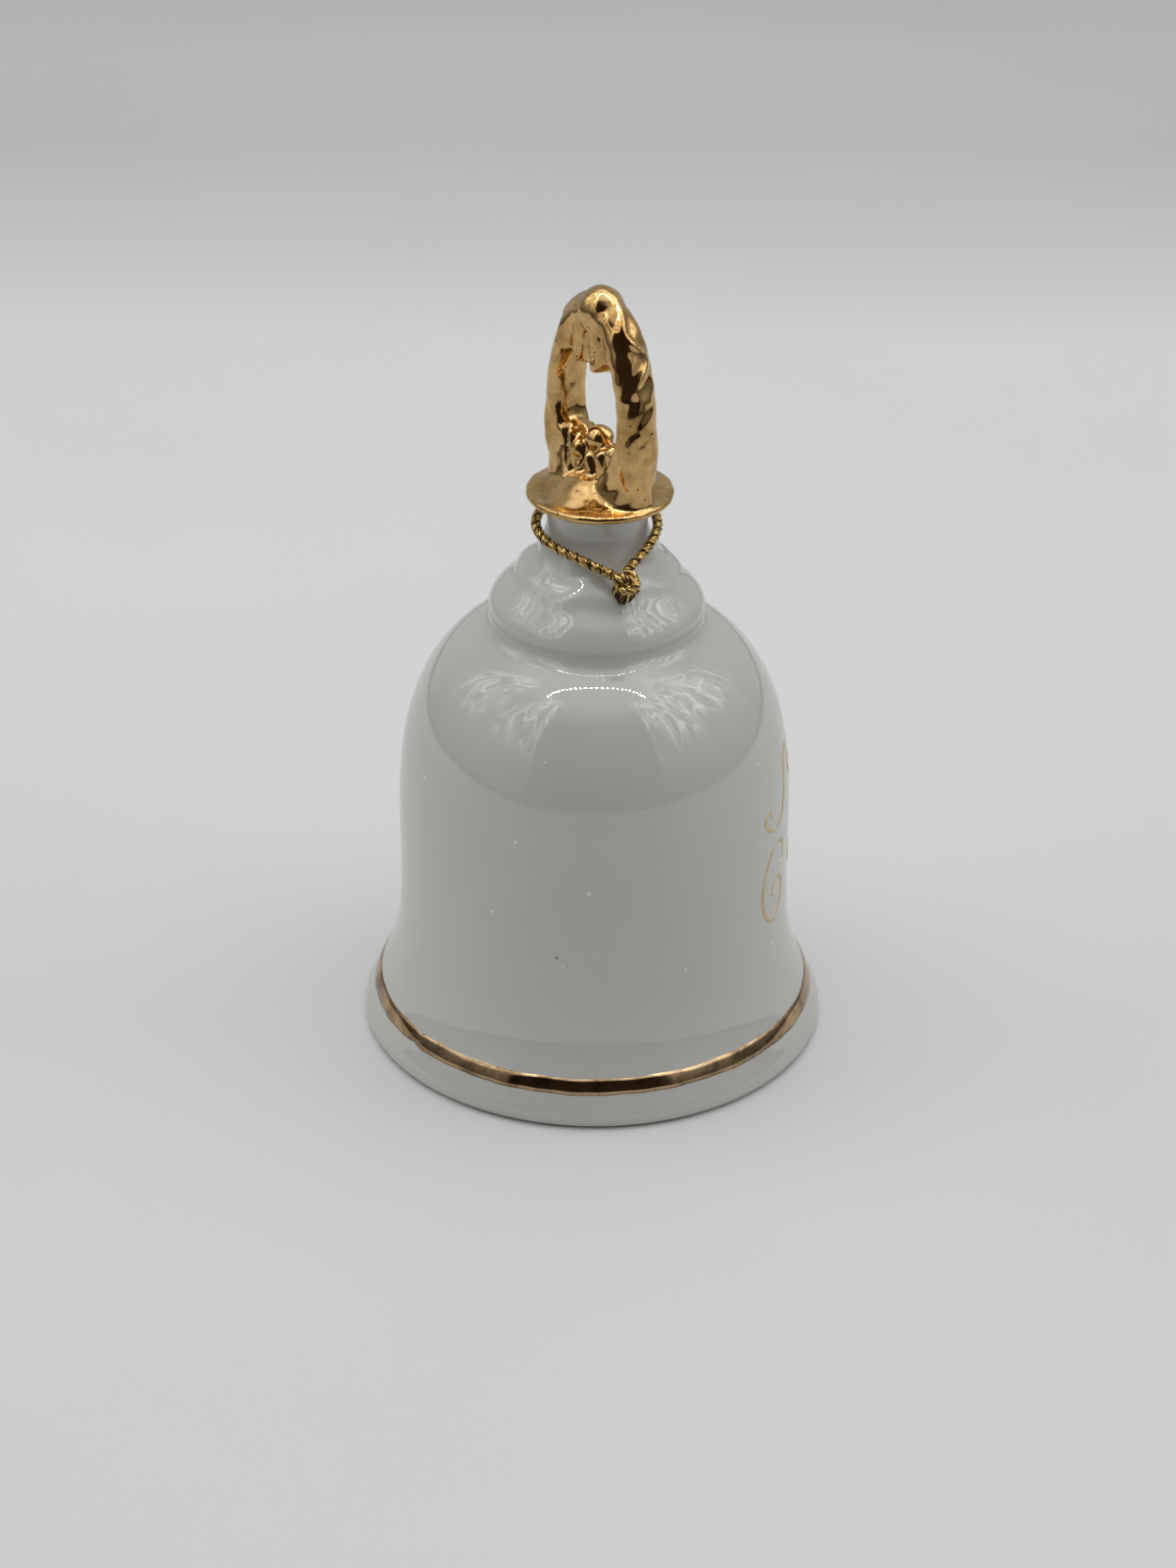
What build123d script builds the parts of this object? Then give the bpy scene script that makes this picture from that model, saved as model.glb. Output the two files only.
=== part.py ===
from build123d import *

import os
from math import cos, pi, radians, sin, tan

# Porcelain table bell with a gilt loop handle, a wire-hung clapper and a cord tied
# round its neck. Millimetres, +Z up, origin at the middle of the foot ring. The
# decorated front faces -Y, and the handle's loop lies in the XZ plane.

# ---------------------------------------------------------------- driving dimensions
mouth_radius = 32.0
foot_ring_inner = 29.6
foot_ring_outer = 30.6
lip_height = 1.5
crown_height = 57.6          # underside of the crown, inside the bell
neck_radius = 6.7
neck_height = 78.6           # the handle is luted on here
collar_radius = 9.8
overall_height = 108.0
gilt_thickness = 0.08
bond_depth = 1.0             # how far a gilt skin is drawn into the wall before it is cut off
band_low = 4.9
band_width = 2.0

loop_depth = 5.6             # front to back
hole_half_width = 5.9
hole_bottom = 85.6
hole_top = 96.4
knop_radius = 3.3
berry_radius = 2.1
berry_height = 87.2

plug_radius = 3.2
plug_length = 4.5
plug_proud = 0.4             # how far the cement stands out of its socket
staple_wire = 1.0
staple_bend = 2.0            # bend radius to the wire's middle
staple_low = 51.5            # middle of the wire at the bottom of the bend
ring_wire = 0.9
ring_radius = 2.3
clapper_wire_size = 1.0
clapper_eye_radius = 1.9
link_gap = 0.1               # play between two hooked wires
ball_radius = 5.5
ball_height = 15.0
ball_bore_radius = 0.65
tail_eye_radius = 1.3

cord_size = 1.4
knot_centre = (-10.95, 4.3, 70.85)

# ------------------------------------------------------------------------- outlines
# (radius, height) from the widest part of the lip up to the groove under the tier
skirt_outline = [
    (mouth_radius, lip_height), (31.3, 3.4), (30.4, 5.4), (28.9, 8.4), (27.6, 12.4),
    (26.8, 19.5), (26.7, 30.0), (26.25, 41.0), (24.4, 49.4), (20.5, 56.2), (15.4, 59.9),
]
groove_middle = (14.75, 60.35)
# (radius, height) of the small dome above the groove, up into the neck
tier_outline = [
    (14.5, 61.1), (14.55, 62.8), (13.8, 64.8), (11.6, 67.4), (8.9, 70.6), (7.2, 73.3),
    (neck_radius, 76.2), (7.2, neck_height),
]
# (radius, height) of the cavity, from the mouth up to the flat crown
cavity_outline = [
    (28.9, 1.0), (27.3, 5.0), (25.6, 9.6), (24.5, 15.0), (24.2, 26.0), (23.9, 37.0),
    (22.5, 45.5), (19.4, 52.0), (14.4, 56.2), (8.0, crown_height),
]
# (half width, height) of the handle's loop, from the collar up to the knop
loop_outline = [
    (8.5, 79.4), (9.2, 83.5), (9.6, 88.0), (9.3, 93.0), (8.1, 98.0), (6.5, 102.0), (3.4, 105.4),
]


def skirt_edges(shift=0.0):
    """Outside of the skirt and the groove, moved out by shift."""
    points = [(radius + shift, height) for radius, height in skirt_outline]
    end = (tier_outline[0][0] + shift, tier_outline[0][1])
    Spline(*points, tangents=((0, 1), (-1, 0.35)))
    ThreePointArc(points[-1], (groove_middle[0] + shift, groove_middle[1]), end)


# ------------------------------------------------------------------------ bell shell
with BuildPart() as bell_shell:
    with BuildSketch(Plane.XZ):
        with BuildLine():
            Line((0, neck_height), (0, crown_height))
            Line((0, crown_height), cavity_outline[-1])
            Spline(*reversed(cavity_outline), tangents=((1, -0.1), (0.35, -1)))
            ThreePointArc(cavity_outline[0], (29.1, 0.3), (foot_ring_inner, 0))
            Line((foot_ring_inner, 0), (foot_ring_outer, 0))
            ThreePointArc((foot_ring_outer, 0), (31.6, 0.45), skirt_outline[0])
            skirt_edges()
            Spline(*tier_outline, tangents=((0, 1), (0.4, 1)))
            Line(tier_outline[-1], (0, neck_height))
        make_face()
    revolve(axis=Axis.Z)
    with BuildSketch(Plane.XY.offset(crown_height)):
        Circle(plug_radius)
    extrude(amount=plug_length, mode=Mode.SUBTRACT)
bell_shell.part.label = "bell_shell"


# -------------------------------------------------------------- fired gilt decoration
def gilt_skin(low, high):
    """Thin skin on the outside of the skirt between two heights."""
    with BuildPart() as skin:
        with BuildSketch(Plane.XZ):
            for shift, mode in ((gilt_thickness, Mode.ADD), (-bond_depth, Mode.SUBTRACT)):
                with BuildLine():
                    skirt_edges(shift)
                    groove_end = (tier_outline[0][0] + shift, tier_outline[0][1])
                    Line(groove_end, (0, groove_end[1]))
                    Line((0, groove_end[1]), (0, lip_height))
                    Line((0, lip_height), (mouth_radius + shift, lip_height))
                make_face(mode=mode)
            with Locations((mouth_radius / 2, (low + high) / 2)):
                Rectangle(mouth_radius + 1, high - low, mode=Mode.INTERSECT)
        revolve(axis=Axis.Z)
        add(bell_shell.part, mode=Mode.SUBTRACT)
    return skin.part


with BuildPart() as rim_gilt_band:
    add(gilt_skin(band_low, band_low + band_width))
rim_gilt_band.part.label = "rim_gilt_band"

# Scrollwork in two rows round the front. Strokes are (along the wall, height) from the
# middle of a panel; each panel faces out at its own angle from the front.
stroke_width = 0.8
scroll_volute = [(-3.6, 38.6), (-3.2, 35.8), (0.2, 34.8), (2.6, 37.6), (3.4, 41.4), (4.6, 44.0)]
scroll_loop = [(2.6, 30.8), (-0.4, 32.2), (-3.6, 28.4), (-3.4, 22.6), (-0.6, 20.4), (2.2, 22.6), (1.6, 26.2)]
scroll_wave = [(-5.0, 40.0), (-2.2, 37.2), (1.0, 40.6), (4.4, 38.4)]
scroll_tail = [(-5.2, 24.6), (-2.0, 28.4), (1.6, 24.2), (5.0, 26.6)]
panel_angles = (62.0, 37.0, 12.0)
panel_strokes = ((scroll_volute, scroll_loop), (scroll_wave, scroll_tail), (scroll_wave, scroll_tail))


def panel_plane(angle):
    """Upright plane inside the wall, facing out at an angle from the front."""
    turn = radians(angle)
    outward = Vector(sin(turn), -cos(turn), 0)
    return Plane(origin=outward * 20, x_dir=(cos(turn), sin(turn), 0), z_dir=outward)


with BuildPart() as front_gilt_scrolls:
    for side in (-1, 1):
        for angle, strokes in zip(panel_angles, panel_strokes):
            with BuildSketch(panel_plane(side * angle)):
                for stroke in strokes:
                    with BuildLine():
                        Spline(*[(-side * along, height) for along, height in stroke])
                    trace(line_width=stroke_width)
            extrude(amount=9)
    add(gilt_skin(18, 46), mode=Mode.INTERSECT)
front_gilt_scrolls.part.label = "front_gilt_scrolls"

# --------------------------------------------------------------------------- handle
with BuildPart() as handle:
    with BuildSketch(Plane.XZ):
        with BuildLine():
            right = Spline(*loop_outline)
            mirror(right, about=Plane.YZ)
            Line(loop_outline[0], (-loop_outline[0][0], loop_outline[0][1]))
            ThreePointArc(loop_outline[-1], (0, 106.4), (-loop_outline[-1][0], loop_outline[-1][1]))
        make_face()
    extrude(amount=loop_depth / 2, both=True)
    rim = handle.edges().filter_by(lambda edge: abs(abs(edge.center().Y) - loop_depth / 2) < 0.01)
    fillet([edge for edge in rim if edge.center().Z > 80], radius=1.9)
    with BuildSketch(Plane.XZ):
        with BuildLine():
            Spline(
                (0, hole_top), (-4.4, 97.6), (-hole_half_width, 93.4), (-5.4, 88.4), (0, hole_bottom),
                (5.4, 88.4), (hole_half_width, 93.4), (4.4, 97.6), (0, hole_top),
            )
        make_face()
    extrude(amount=loop_depth, both=True, mode=Mode.SUBTRACT)
    with BuildSketch(Plane.XZ):
        with BuildLine():
            Line((0, neck_height), (tier_outline[-1][0], neck_height))
            ThreePointArc((tier_outline[-1][0], neck_height), (8.8, 78.65), (9.5, 78.8))
            ThreePointArc((9.5, 78.8), (collar_radius, 79.3), (9.5, 79.8))
            Spline((9.5, 79.8), (8.0, 80.5), (5.6, 82.0), (3.2, 84.2))
            Line((3.2, 84.2), (0, 84.2))
            Line((0, 84.2), (0, neck_height))
        make_face()
    revolve(axis=Axis.Z)
    with Locations((0, 0, berry_height)):
        Sphere(berry_radius)
    with Locations((0, 0, overall_height - knop_radius)):
        Sphere(knop_radius)
handle.part.label = "handle"

# -------------------------------------------------------------------- clapper hanger
staple_centre = staple_low + staple_bend
staple_top = crown_height + plug_length - 1

with BuildPart() as hanger_staple:
    with BuildLine() as staple_path:
        Line((-staple_bend, 0, staple_top), (-staple_bend, 0, staple_centre))
        ThreePointArc((-staple_bend, 0, staple_centre), (0, 0, staple_low), (staple_bend, 0, staple_centre))
        Line((staple_bend, 0, staple_centre), (staple_bend, 0, staple_top))
    with BuildSketch(Plane.XY.offset(staple_top)):
        with Locations((-staple_bend, 0)):
            Circle(staple_wire / 2)
    sweep(path=staple_path.line)
hanger_staple.part.label = "hanger_staple"

with BuildPart() as hanger_plug:
    with BuildSketch(Plane.XY.offset(crown_height - plug_proud)):
        Circle(plug_radius)
    extrude(amount=plug_length + plug_proud)
    fillet(hanger_plug.edges().sort_by(Axis.Z)[0], radius=plug_proud * 0.9)
    with BuildSketch(Plane.XY.offset(crown_height - plug_proud)):
        with Locations((-staple_bend, 0), (staple_bend, 0)):
            Circle(staple_wire / 2)
    extrude(amount=staple_top - crown_height + plug_proud, mode=Mode.SUBTRACT)
hanger_plug.part.label = "hanger_plug"

# The ring hangs round the staple's bend, and the clapper's eye hangs in the ring.
hook_reach = (staple_wire + ring_wire) / 2 + link_gap
ring_centre = staple_low + hook_reach - ring_radius
ring_low = ring_centre - ring_radius
with BuildPart() as jump_ring:
    with BuildSketch(Plane.XZ):
        with Locations((ring_radius, 0)):
            Circle(ring_wire / 2)
    revolve(axis=Axis.Z)
jump_ring.part.locate(Location((0, 0, ring_centre), (0, 90, 0)))
jump_ring.part.label = "jump_ring"

# ---------------------------------------------------------------------------- clapper
eye_reach = (ring_wire + clapper_wire_size) / 2 + link_gap
eye_centre = ring_low + eye_reach - clapper_eye_radius
stem_top = eye_centre - clapper_eye_radius
tail_centre = ball_height - ball_radius - tail_eye_radius - clapper_wire_size / 2


def wire_eye(radius, height):
    """Closed loop of clapper wire that stands in the XZ plane."""
    with BuildPart() as eye:
        with BuildSketch(Plane.XY):
            with Locations((radius, 0)):
                Circle(clapper_wire_size / 2)
        revolve(axis=Axis.Y)
    return eye.part.moved(Location((0, 0, height)))


with BuildPart() as clapper_wire:
    add(wire_eye(clapper_eye_radius, eye_centre))
    with BuildSketch(Plane.XY.offset(tail_centre + tail_eye_radius)):
        Circle(clapper_wire_size / 2)
    extrude(amount=stem_top - tail_centre - tail_eye_radius)
    add(wire_eye(tail_eye_radius, tail_centre))
clapper_wire.part.label = "clapper_wire"

with BuildPart() as clapper_ball:
    with Locations((0, 0, ball_height)):
        Sphere(ball_radius)
    with BuildSketch(Plane.XY.offset(ball_height - ball_radius - 1)):
        Circle(ball_bore_radius)
    extrude(amount=2 * ball_radius + 2, mode=Mode.SUBTRACT)
clapper_ball.part.label = "clapper_ball"

# -------------------------------------------------------------------------- neck cord
# From the knot up one side, round the neck under the collar and down to the knot.
cord_route = [
    (-9.3, 2.9, 71.9), (-8.7, 0.0, 73.0), (-7.8, -2.8, 74.0), (-5.9, -5.6, 74.7),
    (-2.7, -7.8, 75.2), (1.2, -8.2, 75.5), (4.9, -6.7, 75.6), (7.5, -3.6, 75.5),
    (8.2, 0.2, 75.4), (7.3, 3.9, 75.2), (4.8, 6.8, 74.8), (1.3, 8.2, 74.3),
    (-2.4, 8.1, 74.0), (-5.5, 7.1, 73.4), (-8.0, 5.7, 72.5), (-9.8, 4.2, 71.5),
]


def corner_radii(points):
    """Largest arc that each corner of a route allows: 0.45 of the shorter run."""
    radii = []
    for before, corner, after in zip(points, points[1:], points[2:]):
        arriving = Vector(corner) - Vector(before)
        leaving = Vector(after) - Vector(corner)
        half_turn = radians(arriving.get_angle(leaving)) / 2
        radii.append(0.45 * min(arriving.length, leaving.length) / tan(half_turn))
    return radii


cord_radii = corner_radii(cord_route)
with BuildPart() as neck_cord:
    with BuildLine() as cord_path:
        FilletPolyline(*cord_route, radius=cord_radii)
    with BuildSketch(Plane(cord_path.line @ 0, z_dir=cord_path.line % 0)):
        Circle(cord_size / 2)
    sweep(path=cord_path.line)
neck_cord.part.label = "neck_cord"

with BuildPart() as cord_knot:
    with BuildSketch(Plane.XZ):
        with BuildLine():
            Spline((0, -2.7), (1.3, -1.5), (1.8, 0.2), (1.2, 1.6), (0, 2.0), tangents=((0.9, 0.4), (-1, 0)))
            Line((0, 2.0), (0, -2.7))
        make_face()
    revolve(axis=Axis.Z)
cord_knot.part.locate(Location(knot_centre, (0, -30, 0)))
cord_knot.part.label = "cord_knot"

# ---------------------------------------------------------------------------- output
pieces = (
    bell_shell, rim_gilt_band, front_gilt_scrolls, handle, hanger_plug, hanger_staple,
    jump_ring, clapper_wire, clapper_ball, neck_cord, cord_knot,
)
os.makedirs("parts", exist_ok=True)
for piece in pieces:
    export_step(piece.part, f"parts/{piece.part.label}.step")

cord_section = pi * cord_size**2 / 4
cord_length = cord_path.wire().length
print("cord radii:", [round(radius, 1) for radius in cord_radii])
print("cord length:", round(cord_length, 2))
print("cord volume, solid and section x length:",
      round(neck_cord.part.volume, 2), round(cord_section * cord_length, 2))
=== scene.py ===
from math import asin, cos, exp, pi, radians, sin

import bmesh
import bpy
import numpy as np
from mathutils import Matrix, Quaternion, Vector
from mathutils import noise as bpy_noise


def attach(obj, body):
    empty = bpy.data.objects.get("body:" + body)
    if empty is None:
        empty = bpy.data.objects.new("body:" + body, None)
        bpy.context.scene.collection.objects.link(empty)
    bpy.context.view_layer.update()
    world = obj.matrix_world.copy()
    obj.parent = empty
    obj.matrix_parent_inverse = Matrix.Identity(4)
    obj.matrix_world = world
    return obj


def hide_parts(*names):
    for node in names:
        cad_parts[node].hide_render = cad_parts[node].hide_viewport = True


# A porcelain table bell: glazed shell, gilt loop handle, gilt line and scrolls, a twisted
# metallic cord round the neck and a clapper inside. Profiles and routes are written in
# millimetres and turned into metres as each mesh is made.
MM = 0.001

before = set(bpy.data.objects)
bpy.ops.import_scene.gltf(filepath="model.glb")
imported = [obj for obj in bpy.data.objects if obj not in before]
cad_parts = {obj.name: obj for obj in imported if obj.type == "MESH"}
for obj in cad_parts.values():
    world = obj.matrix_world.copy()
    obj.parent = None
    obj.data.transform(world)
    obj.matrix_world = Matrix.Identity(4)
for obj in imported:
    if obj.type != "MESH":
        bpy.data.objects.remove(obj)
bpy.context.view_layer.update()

# ============================================================================== camera
VIEW_AZIMUTH = radians(230)
VIEW_ELEVATION = radians(29)
VIEW_ROLL = radians(0.55)
CAMERA_DISTANCE = 0.5
LENS = 83.8
AIM_HEIGHT = 0.0354
AIM_SIDE = -0.0009  # the bell stands a little right of the middle

toward_camera = Vector((sin(VIEW_AZIMUTH), -cos(VIEW_AZIMUTH), 0))
camera_right = Vector((cos(VIEW_AZIMUTH), sin(VIEW_AZIMUTH), 0))


def make_camera():
    back = toward_camera * cos(VIEW_ELEVATION) + Vector((0, 0, sin(VIEW_ELEVATION)))
    data = bpy.data.cameras.new("camera")
    data.lens = LENS
    data.sensor_width = 36
    data.clip_start = 0.01
    camera = bpy.data.objects.new("camera", data)
    camera.location = Vector((0, 0, AIM_HEIGHT)) + camera_right * AIM_SIDE + back * CAMERA_DISTANCE
    aim = (-back).to_track_quat("-Z", "Y")
    camera.rotation_mode = "QUATERNION"
    camera.rotation_quaternion = aim @ Quaternion((0, 0, 1), VIEW_ROLL)
    bpy.context.scene.collection.objects.link(camera)
    bpy.context.scene.camera = camera


make_camera()

# ======================================================================== mesh helpers


def link(name, mesh):
    made = bpy.data.objects.new(name, mesh)
    bpy.context.scene.collection.objects.link(made)
    return made


def mesh_object(name, points, faces, smooth=True):
    """Mesh object from points in millimetres."""
    mesh = bpy.data.meshes.new(name)
    mesh.from_pydata([tuple(c * MM for c in p) for p in points], [], faces)
    mesh.polygons.foreach_set("use_smooth", [smooth] * len(mesh.polygons))
    mesh.update()
    return link(name, mesh)


def smooth_line(points, steps, start=None, end=None):
    """Smooth cubic line through the points, with a given number of steps in all."""
    knots = np.array(points, float)
    chords = np.linalg.norm(np.diff(knots, axis=0), axis=1)
    at = np.concatenate([[0], np.cumsum(chords)])
    count = len(knots)
    system = np.zeros((count, count))
    wanted = np.zeros_like(knots)
    for i in range(1, count - 1):
        before, after = chords[i - 1], chords[i]
        system[i, i - 1:i + 2] = after, 2 * (before + after), before
        rise_before, rise_after = knots[i] - knots[i - 1], knots[i + 1] - knots[i]
        wanted[i] = 3 * (after * rise_before / before + before * rise_after / after)
    for row, inner, tangent in ((0, 1, start), (count - 1, count - 2, end)):
        chord = chords[0] if row == 0 else chords[-1]
        if tangent is None:
            system[row, row], system[row, inner] = 2, 1
            wanted[row] = 3 * (knots[max(row, inner)] - knots[min(row, inner)]) / chord
        else:
            system[row, row] = 1
            wanted[row] = np.array(tangent, float) / np.linalg.norm(tangent)
    slopes = np.linalg.solve(system, wanted)
    line = []
    for t in np.linspace(0, at[-1], steps + 1):
        i = min(int(np.searchsorted(at, t, side="right")) - 1, count - 2)
        h, u = chords[i], (t - at[i]) / chords[i]
        line.append(
            (2 * u**3 - 3 * u**2 + 1) * knots[i] + (u**3 - 2 * u**2 + u) * h * slopes[i]
            + (3 * u**2 - 2 * u**3) * knots[i + 1] + (u**3 - u**2) * h * slopes[i + 1]
        )
    return np.array(line)


def skin(rings, around):
    """Faces over rings of points, closed by a flat cap at each end."""
    faces = []
    for ring in range(rings - 1):
        low, high = ring * around, (ring + 1) * around
        for k in range(around):
            n = (k + 1) % around
            faces.append((low + k, low + n, high + n, high + k))
    faces.append(tuple(reversed(range(around))))
    faces.append(tuple(range((rings - 1) * around, rings * around)))
    return faces


def lathe(name, profile, around, radius_at):
    """Closed turned form whose profile runs from axis to axis. The radius may vary with the angle."""
    points, faces, rings = [], [], []
    for radius, height in profile:
        if radius < 1e-6:
            rings.append([len(points)])
            points.append((0, 0, height))
            continue
        rings.append(list(range(len(points), len(points) + around)))
        for k in range(around):
            angle = 2 * pi * k / around
            r = radius + radius_at(angle, radius, height)
            points.append((r * sin(angle), -r * cos(angle), height))
    for low, high in zip(rings, rings[1:]):
        for k in range(around):
            n = (k + 1) % around
            if len(low) == 1:
                faces.append((low[0], high[n], high[k]))
            elif len(high) == 1:
                faces.append((low[k], low[n], high[0]))
            else:
                faces.append((low[k], low[n], high[n], high[k]))
    return mesh_object(name, points, faces)


def frames_along(path):
    """Tangent and two steady side directions at each point of a path."""
    path = np.array(path, float)
    tangents = np.gradient(path, axis=0)
    tangents /= np.linalg.norm(tangents, axis=1)[:, None]
    side = np.cross(tangents[0], (0.3, 0.2, 1.0))
    sides, others = [], []
    for tangent in tangents:
        side = side - tangent * (side @ tangent)
        side /= np.linalg.norm(side)
        sides.append(side.copy())
        others.append(np.cross(tangent, side))
    return tangents, np.array(sides), np.array(others)


def tube(path, radius, around=6):
    """Points and faces of a capped round tube along a path, of one radius or of one at each point."""
    path = np.array(path, float)
    _, sides, others = frames_along(path)
    radii = np.full(len(path), float(radius)) if np.isscalar(radius) else np.array(radius, float)
    points = []
    for centre, side, other, r in zip(path, sides, others, radii):
        for k in range(around):
            angle = 2 * pi * k / around
            points.append(tuple(centre + r * (cos(angle) * side + sin(angle) * other)))
    return points, skin(len(path), around)


def gather(parts):
    """One list of points and faces from several."""
    points, faces = [], []
    for part_points, part_faces in parts:
        start = len(points)
        points.extend(part_points)
        faces.extend(tuple(i + start for i in face) for face in part_faces)
    return points, faces


def apply_modifiers(made):
    graph = bpy.context.evaluated_depsgraph_get()
    mesh = bpy.data.meshes.new_from_object(made.evaluated_get(graph))
    made.modifiers.clear()
    made.data = mesh


def ellipsoid(centre, radii, turn=0.0, around=24):
    """Closed ellipsoid, turned about the Y axis by degrees."""
    points, faces = [(0, 0, -1)], []
    rings = around // 2
    for ring in range(1, rings):
        polar = pi * ring / rings
        for k in range(around):
            angle = 2 * pi * k / around
            points.append((sin(polar) * cos(angle), sin(polar) * sin(angle), -cos(polar)))
    points.append((0, 0, 1))
    last = len(points) - 1
    for ring in range(rings - 2):
        for k in range(around):
            n = (k + 1) % around
            low, high = 1 + ring * around, 1 + (ring + 1) * around
            faces.append((low + k, low + n, high + n, high + k))
    for k in range(around):
        n = (k + 1) % around
        faces.append((0, 1 + n, 1 + k))
        faces.append((last, last - around + k, last - around + n))
    rotate = Matrix.Rotation(radians(turn), 3, "Y")
    placed = []
    for x, y, z in points:
        stretched = Vector((x * radii[0], y * radii[1], z * radii[2]))
        placed.append(tuple(rotate @ stretched + Vector(centre)))
    return placed, faces


# =========================================================================== neck cord
# From the knot up one side, round the neck under the collar and down to the knot.
KNOT_CENTRE = (-10.95, 4.3, 70.85)
KNOT_SIZE = 1.28
FRAYED_THREADS = 26
BINDING_TURNS = 3
BINDING_RADIUS = 0.13
cord_route = [
    (-9.3, 2.9, 71.9), (-8.7, 0.0, 73.0), (-7.8, -2.8, 74.0), (-5.9, -5.6, 74.7),
    (-2.7, -7.8, 75.2), (1.2, -8.2, 75.5), (4.9, -6.7, 75.6), (7.5, -3.6, 75.5),
    (8.2, 0.2, 75.4), (7.3, 3.9, 75.2), (4.8, 6.8, 74.8), (1.3, 8.2, 74.3),
    (-2.4, 8.1, 74.0), (-5.5, 7.1, 73.4), (-8.0, 5.7, 72.5), (-9.8, 4.2, 71.5),
]
STRANDS = 3
STRAND_PITCH = 3.0     # length of one turn of the strands
STRAND_OFFSET = 0.36   # middle of a strand from the middle of the cord
THREADS = 4
THREAD_PITCH = 2.3
THREAD_OFFSET = 0.19
THREAD_RADIUS = 0.155
STRAND_CORE = 0.15
CORD_STEP = 0.12       # between the stations of a thread


def nurbs_line(name, route):
    """Centreline of a cord, read from the NURBS spline through its route, in millimetres."""
    curve = bpy.data.curves.new(name, "CURVE")
    curve.dimensions = "3D"
    curve.resolution_u = 24
    spline = curve.splines.new("NURBS")
    spline.points.add(len(route) - 1)
    for point, place in zip(spline.points, route):
        point.co = (place[0] * MM, place[1] * MM, place[2] * MM, 1)
    spline.order_u = 3
    spline.use_endpoint_u = True
    holder = link(name, curve)
    graph = bpy.context.evaluated_depsgraph_get()
    mesh = bpy.data.meshes.new_from_object(holder.evaluated_get(graph))
    line = np.array([vertex.co for vertex in mesh.vertices]) / MM
    bpy.data.objects.remove(holder)
    return line


def resample(line, step):
    runs = np.linalg.norm(np.diff(line, axis=0), axis=1)
    at = np.concatenate([[0], np.cumsum(runs)])
    wanted = np.linspace(0, at[-1], max(int(round(at[-1] / step)), 2) + 1)
    return np.stack([np.interp(wanted, at, line[:, axis]) for axis in range(3)], axis=1)


def helix_about(line, offset, pitch, phase):
    """Line that winds round another at a distance, once in every pitch."""
    _, sides, others = frames_along(line)
    runs = np.linalg.norm(np.diff(line, axis=0), axis=1)
    turn = phase + 2 * pi * np.concatenate([[0], np.cumsum(runs)]) / pitch
    return line + offset * (np.cos(turn)[:, None] * sides + np.sin(turn)[:, None] * others)


def rope(line, phase=0.0):
    """Threads of a cable-laid cord along a line: gold foil, with some dark threads between."""
    gold, dark = [], []
    for strand in range(STRANDS):
        wound = helix_about(line, STRAND_OFFSET, STRAND_PITCH, phase + 2 * pi * strand / STRANDS)
        dark.append(tube(wound, STRAND_CORE))
        for thread in range(THREADS):
            path = helix_about(wound, THREAD_OFFSET, THREAD_PITCH, 2 * pi * thread / THREADS)
            pile = dark if thread == 2 else gold
            pile.append(tube(path, THREAD_RADIUS))
    return gold, dark


def cord_object(name, gold, dark):
    """Cord mesh, and the material of each face: 0 for gold threads and 1 for dark ones."""
    made = mesh_object(name, *gather([*gold, *dark]))
    gold_faces = sum(len(faces) for _, faces in gold)
    which = [0] * gold_faces + [1] * (len(made.data.polygons) - gold_faces)
    return made, which


cord_line = resample(nurbs_line("cord_route", cord_route), CORD_STEP)
neck_cord, neck_cord_faces = cord_object("twisted_neck_cord", *rope(cord_line))


def knot_loop(shape, centre):
    """Line of the overhand knot, pulled tight."""
    line = []
    for t in np.linspace(0, 2 * pi, 120):
        ring = 0.80 + 0.36 * cos(3 * t)
        height = 0.75 * sin(3 * t) + 0.3 * sin(2 * t) + 0.55
        place = Vector((ring * cos(2 * t), 0.95 * ring * sin(2 * t), height))
        line.append(tuple(shape @ place + centre))
    return np.array(line)


def make_knot():
    """Overhand knot bound with thread, with its cut ends frayed into a short point below."""
    centre = Vector(KNOT_CENTRE)
    lean = Matrix.Rotation(radians(-22), 3, "Y") @ Matrix.Rotation(radians(30), 3, "Z")
    shape = lean * KNOT_SIZE

    def polar(radius, angle, height):
        return Vector((radius * cos(angle), radius * sin(angle), height))

    gold, dark = rope(resample(knot_loop(shape, centre), CORD_STEP), 1.0)
    dark.append(ellipsoid(shape @ Vector((0, 0, 0.1)) + centre, (1.15, 1.15, 1.5)))
    for k in range(FRAYED_THREADS):
        angle = 2 * pi * k / FRAYED_THREADS
        inner = 1.0 if k % 2 else 0.72
        start = polar(0.75, angle, 0.5)
        middle = polar(1.12 * inner, angle + 0.15, -0.75)
        end = polar(0.16 * inner, angle + 0.5, -2.3 - 0.22 * sin(3.7 * k))
        line = smooth_line([tuple(shape @ p + centre) for p in (start, middle, end)], 12)
        pile = gold if k % 3 == 0 else dark
        pile.append(tube(line, np.linspace(0.2, 0.08, len(line))))
    for k in range(BINDING_TURNS):
        ring = []
        for t in np.linspace(0, 2 * pi, 40):
            ring.append(tuple(shape @ polar(1.12, t, 0.02 + 0.17 * k + 0.12 * sin(t + k)) + centre))
        pile = dark if k == 1 else gold
        pile.append(tube(ring, BINDING_RADIUS))
    return cord_object("neck_cord_knot", gold, dark)


cord_knot, cord_knot_faces = make_knot()

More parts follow.
